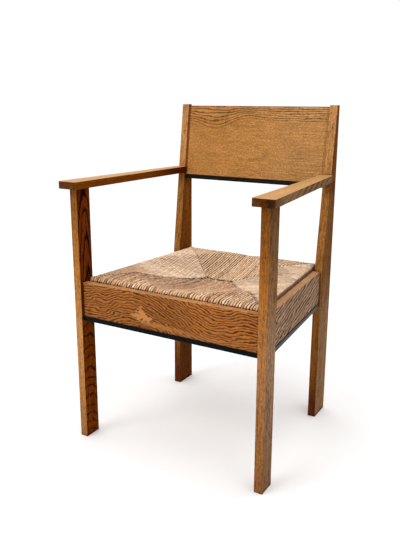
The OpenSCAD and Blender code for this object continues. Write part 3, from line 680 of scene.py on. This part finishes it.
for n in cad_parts:
    if n.startswith("corner_block") and "screws" not in n:
        paint(n, beech("block_" + n, n, "x"))
        ease(n, 0.0008, 2)
    elif n.startswith("seat_ledge") and "screws" not in n:
        paint(n, beech("ledge_" + n, n, "y" if n.endswith(("left", "right")) else "x", (0.40, 0.26, 0.13)))
        ease(n, 0.0008, 2)
    elif n.startswith("seat_frame"):
        paint(n, beech("member_" + n, n, "y" if n.endswith(("left", "right")) else "x", (0.44, 0.29, 0.14)))
        ease(n, 0.0008, 2)
    elif n.endswith("dowels"):
        paint(n, beech("dowel_" + n, n, {"arm_leg_dowels": "z", "arm_post_dowels": "y", "panel_dowels": "x"}[n], (0.55, 0.40, 0.22)))


def steel(name):
    g = Graph(name)
    X, Y, Z = g.place()
    scr = g.noise(g.vec(X * 900, Y * 900, Z * 2600), 3, 0.7)
    spots = g.noise(g.vec(X * 160, Y * 160, Z * 160), 3, 0.6)
    rust = g.step(spots, 0.58, 0.72)
    col = g.mix(g.mix((0.32, 0.31, 0.30), (0.52, 0.51, 0.50), scr), (0.20, 0.11, 0.06), rust * 0.6)
    return g.finish(col, (scr - 0.5) * 0.2 + 0.40 + rust * 0.3, g.bump(scr, 0.00005, 0.6), metallic=1.0)


steel_mat = steel("steel_screws")
for n in ("corner_block_screws", "seat_ledge_screws"):
    paint(n, steel_mat)
    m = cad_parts[n].modifiers.new("weld", "WELD")
    m.merge_threshold = 2e-6


# ---------------------------------------------------------------- rush seat
rush_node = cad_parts["rush_weave"]
pts = np.array([v.co for v in rush_node.data.vertices], float)
Y0, Y1 = pts[:, 1].min(), pts[:, 1].max()
ZB, ZT = pts[:, 2].min(), pts[:, 2].max()
W0 = pts[pts[:, 1] < Y0 + 0.004, 0].max()
W1 = pts[pts[:, 1] > Y1 - 0.004, 0].max()
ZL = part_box("seat_ledge_front")[1].z            # the ledge that the seat rests on
YC, HD = (Y0 + Y1) / 2, (Y1 - Y0) / 2
ZR = float(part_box("front_rail")[1].z)           # the top of the rails
SAG = 0.034
TIP_X, TIP_Y = 0.037, YC + 0.0295               # where the seams meet the ridge
STRAND = 0.0070                                 # from one strand to the next
rng = np.random.default_rng(257)


def half_w(y):
    return W0 + (W1 - W0) * (y - Y0) / (Y1 - Y0)


def z_top(x, y):
    u = np.abs(x) / half_w(y)
    v = np.abs(y - YC) / HD
    r = np.minimum((u ** 1.5 + v ** 1.5) ** (1 / 1.5), 1.0)
    return ZT - SAG * (1 - r * r) ** 1.1


def z_bot(x, y):
    inset = np.minimum(half_w(y) - np.abs(x), np.minimum(y - Y0, Y1 - y))
    t = np.clip((inset - 0.045) / 0.065, 0, 1)
    return ZL + (ZB - ZL) * t * t * (3 - 2 * t)


ROLL = {"y": 0.014, "x": 0.013}                 # how far in from the rim the roll-over starts
DROP = 0.0085
SLANT = 0.0050


def strand_path(edge, end, across, rad, dive_top, dive_bot, lift):
    """Centre line of one strand, from its end at the seam on top, out over the rim, down
    the edge and back underneath. edge and end are distances along the run, and across is
    the place beside it; the run is along Y when lift is 'y', or along X when 'x'."""
    sgn = 1.0 if edge > end else -1.0           # the way out from the seam to the rim
    length = abs(edge - end)
    roll = min(ROLL[lift], max(length * 0.8, 0.005))
    n = max(6, int(length / 0.0075))
    t = np.linspace(0, 1, n)
    run = end + sgn * t * max(length - roll, 0.001)

    def at(r):
        return (np.full_like(r, across), r) if lift == "y" else (r, np.full_like(r, across))

    x, y = at(run)
    yc = np.clip(y, Y0, Y1)
    zt = z_top(x, yc) - rad
    d = np.abs(run - end)
    zt = zt - dive_top * np.exp(-(d / 0.0038) ** 2)
    top = np.stack([x, y, zt], 1)
    # the roll over the rim, down to the ledge
    face = edge - sgn * rad
    a = np.linspace(0, math.pi / 2, 8)[1:]
    r1 = face - sgn * (roll - rad) * (1 - np.sin(a))
    x, y = at(r1)
    z1 = z_top(x, np.clip(y, Y0, Y1)) - rad - DROP * (1 - np.cos(a))
    x, y = at(r1)
    rim = np.stack([x, y, z1], 1)
    wall_z = np.linspace(z1[-1], ZL + 0.0065, 3)[1:]
    x, y = at(np.full_like(wall_z, face))
    wall = np.stack([x, y, wall_z], 1)
    side_ = 0 if lift == "y" else 1             # each strand leans a little as it goes over
    lean = SLANT if lift == "y" else -SLANT * sgn
    lean = lean * (-1.0 if lift == "x" else sgn)
    rim[:, side_] += lean * np.linspace(0.1, 0.75, len(rim))
    wall[:, side_] += lean
    b = np.linspace(0, math.pi / 2, 5)[1:]
    low = 0.0065 - rad
    r2 = face - sgn * 0.006 * (1 - np.cos(b))
    z2 = ZL + 0.0065 - low * np.sin(b)
    x, y = at(r2)
    under = np.stack([x, y, z2], 1)
    m = max(5, int(length / 0.014))
    run = np.linspace(float(r2[-1]), end, m)[1:]
    x, y = at(run)
    zb = z_bot(x, np.clip(y, Y0, Y1)) + rad
    d = np.abs(run - end)
    zb = zb + dive_bot * np.exp(-(d / 0.0045) ** 2)
    below = np.stack([x, y, zb], 1)
    under[:, side_] += lean
    below[:, side_] += lean * np.linspace(0.9, 0.0, len(below))
    return np.concatenate([top, rim, wall, under, below])


def tubes(name, strands, sides=8):
    """One mesh of many strands. Each is (path, half width, half height, tone, phase)."""
    vs, fs, tone, dist, ca, sa = [], [], [], [], [], []
    base = 0
    ang = np.arange(sides) * 2 * math.pi / sides
    for path, hw, hh, tn, ph in strands:
        k = len(path)
        tan = np.gradient(path, axis=0)
        tan /= np.linalg.norm(tan, axis=1)[:, None] + 1e-12
        span = path.max(0) - path.min(0)
        lat = np.array([1.0, 0, 0]) if span[1] > span[0] else np.array([0, 1.0, 0])
        lat = lat - tan * (tan @ lat)[:, None]
        lat /= np.linalg.norm(lat, axis=1)[:, None]
        nor = np.cross(lat, tan)
        if nor[0, 2] < 0:                       # sa is then 1 on the outside of the seat
            lat, nor = -lat, -nor
        s = np.concatenate([[0], np.cumsum(np.linalg.norm(np.diff(path, axis=0), axis=1))])
        twist = 2 * math.pi * s / 0.021 + ph
        swell = 1 + 0.05 * np.sin(2 * math.pi * s / 0.055 + ph * 3)
        rr = 1 + 0.09 * np.cos(2 * (ang[None, :] - twist[:, None]))
        ring = path[:, None, :] + (lat[:, None, :] * (np.cos(ang)[None, :, None] * (hw * swell)[:, None, None])
                                   + nor[:, None, :] * (np.sin(ang)[None, :, None] * (hh * swell)[:, None, None])) * rr[:, :, None]
        vs.append(ring.reshape(-1, 3))
        i = np.arange(k - 1)[:, None] * sides
        j = np.arange(sides)[None, :]
        j2 = (j + 1) % sides
        quads = np.stack([i + j, i + j2, i + sides + j2, i + sides + j], -1).reshape(-1, 4) + base
        fs.extend(quads.tolist())
        fs.append([base + q for q in range(sides)][::-1])
        fs.append([base + (k - 1) * sides + q for q in range(sides)])
        tone.append(np.full(k * sides, tn))
        dist.append(np.repeat(s, sides))
        ca.append(np.tile(np.cos(ang), k))
        sa.append(np.tile(np.sin(ang), k))
        base += k * sides
    me = bpy.data.meshes.new(name)
    me.from_pydata(np.concatenate(vs).tolist(), [], fs)
    for key, arr in (("tone", tone), ("run", dist), ("ca", ca), ("sa", sa)):
        at = me.attributes.new(key, "FLOAT", "POINT")
        at.data.foreach_set("value", np.concatenate(arr).astype(np.float32))
    me.polygons.foreach_set("use_smooth", np.ones(len(me.polygons), bool))
    me.update()
    bm = bmesh.new()
    bm.from_mesh(me)
    bmesh.ops.recalc_face_normals(bm, faces=bm.faces)
    bm.to_mesh(me)
    bm.free()
    o = bpy.data.objects.new(name, me)
    scene.collection.objects.link(o)
    return o


def quarter(kind):
    """Strands of one quarter of the seat."""
    out = []
    if kind in ("front", "back"):
        y_edge = Y0 if kind == "front" else Y1
        w = W0 if kind == "front" else W1
        n_side = int(round((w - TIP_X) / STRAND))
        n_mid = int(round(2 * TIP_X / STRAND))
        xs = list(-w + (np.arange(n_side) + 0.5) * (w - TIP_X) / n_side)
        ends = [y_edge + (TIP_Y - y_edge) * (k + 0.5) / n_side for k in range(n_side)]
        mid = list(-TIP_X + (np.arange(n_mid) + 0.5) * 2 * TIP_X / n_mid)
        rows = list(zip(xs, ends)) + [(x, TIP_Y) for x in mid] + [(-x, e) for x, e in zip(xs, ends)][::-1]
        pitch = (w - TIP_X) / n_side
        for k, (x, e) in enumerate(rows):
            e = e + rng.uniform(-0.0008, 0.0008)
            if abs(e - y_edge) < 0.006:
                e = y_edge + (0.006 if kind == "front" else -0.006)
            x = x + rng.uniform(-0.0006, 0.0006)
            hw = pitch * rng.uniform(0.43, 0.53)
            hh = 0.0028 * rng.uniform(0.85, 1.1)
            deep_ = rng.uniform(0.004, 0.0065) if kind == "front" and x < 0.03 else rng.uniform(0.0015, 0.003)
            path = strand_path(y_edge, e, x, hh + 0.0001, deep_, 0.003, "y")
            lim = half_w(np.clip(path[:, 1], Y0, Y1)) - hw
            path[:, 0] = np.clip(path[:, 0], -lim, lim)
            out.append((path, hw, hh, float(rng.random()), float(rng.uniform(0, 6.28))))
    else:
        s = -1.0 if kind == "left" else 1.0
        nf = int(round((W0 - TIP_X) / STRAND))
        nb = int(round((W1 - TIP_X) / STRAND))
        rows = [(Y0 + (TIP_Y - Y0) * (k + 0.5) / nf, W0 - (W0 - TIP_X) * (k + 0.5) / nf, (TIP_Y - Y0) / nf) for k in range(nf)]
        rows += [(Y1 - (Y1 - TIP_Y) * (k + 0.5) / nb, W1 - (W1 - TIP_X) * (k + 0.5) / nb, (Y1 - TIP_Y) / nb) for k in range(nb)][::-1]
        for y, xe, pitch in rows:
            edge = s * half_w(y)
            end = s * (xe + rng.uniform(-0.0008, 0.0008))
            if abs(edge - end) < 0.006:
                end = edge - s * 0.006
            y = y + rng.uniform(-0.00035, 0.00035)
            hw = pitch * rng.uniform(0.45, 0.53)
            hh = 0.0028 * rng.uniform(0.88, 1.08)
            path = strand_path(edge, end, y, hh + 0.0001, rng.uniform(0.0015, 0.0035), 0.003, "x")
            path[:, 1] = np.clip(path[:, 1], Y0 + hw, Y1 - hw)
            out.append((path, hw, hh, float(rng.random()), float(rng.uniform(0, 6.28))))
    return out


def rush(name, pale, mid, deep, gap, seam, slit, vary, twist):
    g = Graph(name)
    X, Y, Z = g.place()
    tone, run, ca, sa = (g.attr(k) for k in ("tone", "run", "ca", "sa"))
    # leaves of different colour twisted into each strand
    k = g.noise(g.vec(tone * 91.0, run * 26.0, 0.5), 3, 0.6)
    k2 = g.noise(g.vec(tone * 37.0 + 4.0, run * 105.0 + ca * 0.8, sa * 0.8), 3, 0.6)
    a = ((k - 0.5) * 1.5 + (tone - 0.5) * 0.60) * vary + (k2 - 0.5) * 1.5 + 0.5
    col = g.mix(deep, mid, g.step(a, 0.05, 0.42))
    col = g.mix(col, pale, g.step(a, 0.48, 0.92))
    fibre = g.noise(g.vec(run * 60.0, ca * 9.0 + run * 260.0, sa * 9.0 + tone * 50.0), 2, 0.6)
    col = g.scale(col, (fibre - 0.5) * 0.35 + 1.0)
    # the leaves' own edges, which wind round the strand
    wind = g.sin(run * (2 * math.pi / 0.0165) + g.math("ARCTAN2", sa, ca) + tone * 40.0)
    col = g.scale(col, 1.06 - g.step(wind, 0.10, 0.95) * twist)
    # painted shade between the strands
    col = g.mix(col, gap, g.step(sa, slit, slit - 0.60) * 0.90)
    at_seam = g.step(run, 0.0065, 0.001) * seam
    if name == "rush_front":
        at_seam = at_seam * g.step(X, 0.045, 0.02, 0.25, 1.0)
    if name == "rush_left":
        # the dotted dark line against the front quarter
        at_seam = g.step(run, 0.0125, 0.004) * (g.step(X, -0.19, -0.165, 0.15, 1.0) * g.step(Y, float(TIP_Y) + 0.012, float(TIP_Y) - 0.002, seam, 1.0)) \
            * g.step(tone, 0.15, 0.55, 0.35, 1.0)
    if name == "rush_back":
        at_seam = g.max(at_seam, g.step(run, 0.0085, 0.003) * g.step(Y, float(TIP_Y) + 0.012, float(TIP_Y) + 0.006)
                        * g.step(tone, 0.15, 0.65, 0.2, 0.95))
    col = g.mix(col, g.scale(gap, 0.6), at_seam)
    if name in ("rush_left", "rush_right"):
        # in the shade of the rail along the sides
        edge_in = (Y - float(Y0)) * float((W1 - W0) / (Y1 - Y0)) + float(W0) - g.abs(X)
        col = g.mul3(col, g.mix((1.0, 1.0, 1.0), (0.20, 0.13, 0.09), g.step(edge_in, 0.0042, 0.0012)))
    if name == "rush_left":
        # browner in the front corner, and leaves that line up from strand to strand
        far = g.sqrt((X + 0.24) * (X + 0.24) + (Y + 0.20) * (Y + 0.20))
        col = g.mul3(col, g.mix((1.0, 1.0, 1.0), (0.68, 0.57, 0.46), g.step(far, 0.205, 0.120)))
        wob = g.noise(g.vec(X * 24, Y * 24, 3.0), 2) - 0.5
        slant = g.sin((X * 0.55 + Y) * (2 * math.pi / 0.0078) + wob * 7.0)
        col = g.scale(col, slant * 0.23 + 1.0)
    soil = g.noise(g.vec(X * 22, Y * 22, Z * 22), 3, 0.6)
    col = g.scale(col, (soil - 0.5) * 0.45 + 1.0)
    if name == "rush_front":
        # painted shade where the strands go down behind the rail
        col = g.mul3(col, g.mix((1.0, 1.0, 1.0), (0.30, 0.17, 0.10), g.step(Z, ZR + 0.0036, ZR + 0.0010)
                                * g.step(Y, float(Y0) + 0.009, float(Y0) + 0.006)
                                * g.step(tone, 0.10, 0.60, 0.25, 1.0)))
        # browner behind the rim and in the left corner
        col = g.mul3(col, g.mix((1.0, 1.0, 1.0), (0.88, 0.80, 0.72), g.step(Y, -0.185, -0.150)))
        col = g.mul3(col, g.mix((1.0, 1.0, 1.0), (0.76, 0.68, 0.60), g.step(X, -0.13, -0.20)))
    groove = g.sin(run * (2 * math.pi / 0.0052) + g.math("ARCTAN2", sa, ca) * 2.0)
    h = groove * 0.35 + fibre
    r = (fibre - 0.5) * 0.2 + 0.60
    return g.finish(col, r, g.bump(h, 0.00035, 0.7), specular=0.35, sheen=0.08, sheen_rough=0.5)


RUSH = {
    "front": ((0.99, 0.76, 0.52), (0.70, 0.41, 0.215), (0.34, 0.16, 0.065), (0.050, 0.020, 0.007), 0.95, 0.90, 0.80, 0.24),
    "back": ((0.93, 0.67, 0.44), (0.74, 0.455, 0.25), (0.40, 0.195, 0.085), (0.050, 0.020, 0.008), 0.12, 0.92, 0.55, 0.18),
    "left": ((0.94, 0.72, 0.50), (0.79, 0.55, 0.37), (0.54, 0.33, 0.19), (0.15, 0.07, 0.03), 0.20, 0.82, 0.60, 0.10),
    "right": ((0.90, 0.68, 0.48), (0.72, 0.49, 0.32), (0.46, 0.28, 0.155), (0.10, 0.05, 0.022), 0.15, 0.90, 0.55, 0.14),
}
seat_parts = []
for kind in ("front", "back", "left", "right"):
    o = tubes("rush_" + kind, quarter(kind))
    o.data.materials.append(rush("rush_" + kind, *RUSH[kind]))
    seat_parts.append(o)


def core():
    """Packed dark rush between the two layers of strands."""
    nx, ny = 56, 56
    inset = 0.0062
    bm = bmesh.new()
    grid = {}
    for layer in (0, 1):
        for j in range(ny):
            for i in range(nx):
                y = Y0 + inset + (Y1 - Y0 - 2 * inset) * j / (ny - 1)
                hw = half_w(y) - inset
                x = hw * (2 * i / (nx - 1) - 1)
                k1 = min((hw - abs(x)) / (ROLL["x"] - 0.003), 1.0)
                k2 = min(min(y - Y0 - inset, Y1 - inset - y) / (ROLL["y"] - 0.003), 1.0)
                roll = max(DROP * (1 - math.sqrt(max(0.0, 1 - (1 - k) ** 2))) for k in (k1, k2))
                if layer:
                    z = float(z_top(x, y)) - 0.0056 - roll + 0.0006 * math.sin(x * 900 + y * 500)
                else:
                    z = float(z_bot(x, y)) + 0.0056
                grid[layer, i, j] = bm.verts.new((x, y, z))
    for layer in (0, 1):
        for j in range(ny - 1):
            for i in range(nx - 1):
                q = [grid[layer, i, j], grid[layer, i + 1, j], grid[layer, i + 1, j + 1], grid[layer, i, j + 1]]
                bm.faces.new(q if layer else q[::-1])
    ringv = [(i, 0) for i in range(nx)] + [(nx - 1, j) for j in range(1, ny)] + [(i, ny - 1) for i in range(nx - 2, -1, -1)] \
        + [(0, j) for j in range(ny - 2, 0, -1)]
    for a, b in zip(ringv, ringv[1:] + ringv[:1]):
        bm.faces.new([grid[(0, *a)], grid[(0, *b)], grid[(1, *b)], grid[(1, *a)]])
    bmesh.ops.recalc_face_normals(bm, faces=bm.faces)
    me = bpy.data.meshes.new("rush_core")
    bm.to_mesh(me)
    bm.free()
    me.polygons.foreach_set("use_smooth", np.ones(len(me.polygons), bool))
    o = bpy.data.objects.new("rush_core", me)
    scene.collection.objects.link(o)
    g = Graph("rush_core")
    X, Y, Z = g.place()
    a = g.noise(g.vec(X * 240, Y * 40, Z * 90), 4, 0.65)
    b = g.noise(g.vec(X * 40 + 3.0, Y * 260, Z * 90), 4, 0.65)
    f = g.max(a, b)
    o.data.materials.append(g.finish(g.mix((0.055, 0.028, 0.012), (0.22, 0.125, 0.055), g.lin(f, 0.4, 0.8)), 0.8,
                                     g.bump(f, 0.0008, 0.8), specular=0.2))
    return o


core_o = core()
for o in seat_parts + [core_o]:
    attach(o, "drop_in_seat")
for o in seat_parts:
    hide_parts("rush_weave")
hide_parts("rush_stuffing")

# ---------------------------------------------------------------- floor and light
bm = bmesh.new()
bmesh.ops.create_circle(bm, cap_ends=True, segments=96, radius=40.0)
me = bpy.data.meshes.new("floor")
bm.to_mesh(me)
bm.free()
floor = bpy.data.objects.new("floor", me)
scene.collection.objects.link(floor)
floor.location = (0, 0, -0.0004)
g = Graph("floor")
X, Y, Z = g.place()
n = g.noise(g.vec(X * 3, Y * 3, Z * 3), 2)
floor.data.materials.append(g.finish(g.mix((0.91, 0.91, 0.91), (0.94, 0.94, 0.94), n), 0.9, specular=0.0, glow=0.10))

world = bpy.data.worlds.new("studio")
scene.world = world
world.use_nodes = True
world.node_tree.nodes["Background"].inputs[0].default_value = (1.0, 1.0, 1.0, 1)
world.node_tree.nodes["Background"].inputs[1].default_value = 1.0


def area(name, place, target, size, power, colour=(1, 1, 1)):
    l = bpy.data.lights.new(name, "AREA")
    l.shape = "RECTANGLE"
    l.size, l.size_y = size
    l.energy = power
    l.color = colour
    o = bpy.data.objects.new(name, l)
    scene.collection.objects.link(o)
    o.location = place
    o.rotation_mode = "QUATERNION"
    o.rotation_quaternion = (Vector(target) - Vector(place)).to_track_quat("-Z", "Y")
    return o


area("key", (-1.1, -2.6, 2.7), (0, 0, 0.45), (1.8, 1.6), 34, (1.0, 0.985, 0.96))
area("top", (0.0, 0.3, 3.4), (0, 0, 0.4), (2.6, 2.6), 14)
area("fill", (2.6, -0.9, 1.3), (0, 0, 0.4), (1.6, 1.6), 3, (0.94, 0.97, 1.0))

scene.view_settings.view_transform = "Standard"
scene.view_settings.look = "None"
scene.view_settings.exposure = 0.0
scene.view_settings.gamma = 1.0
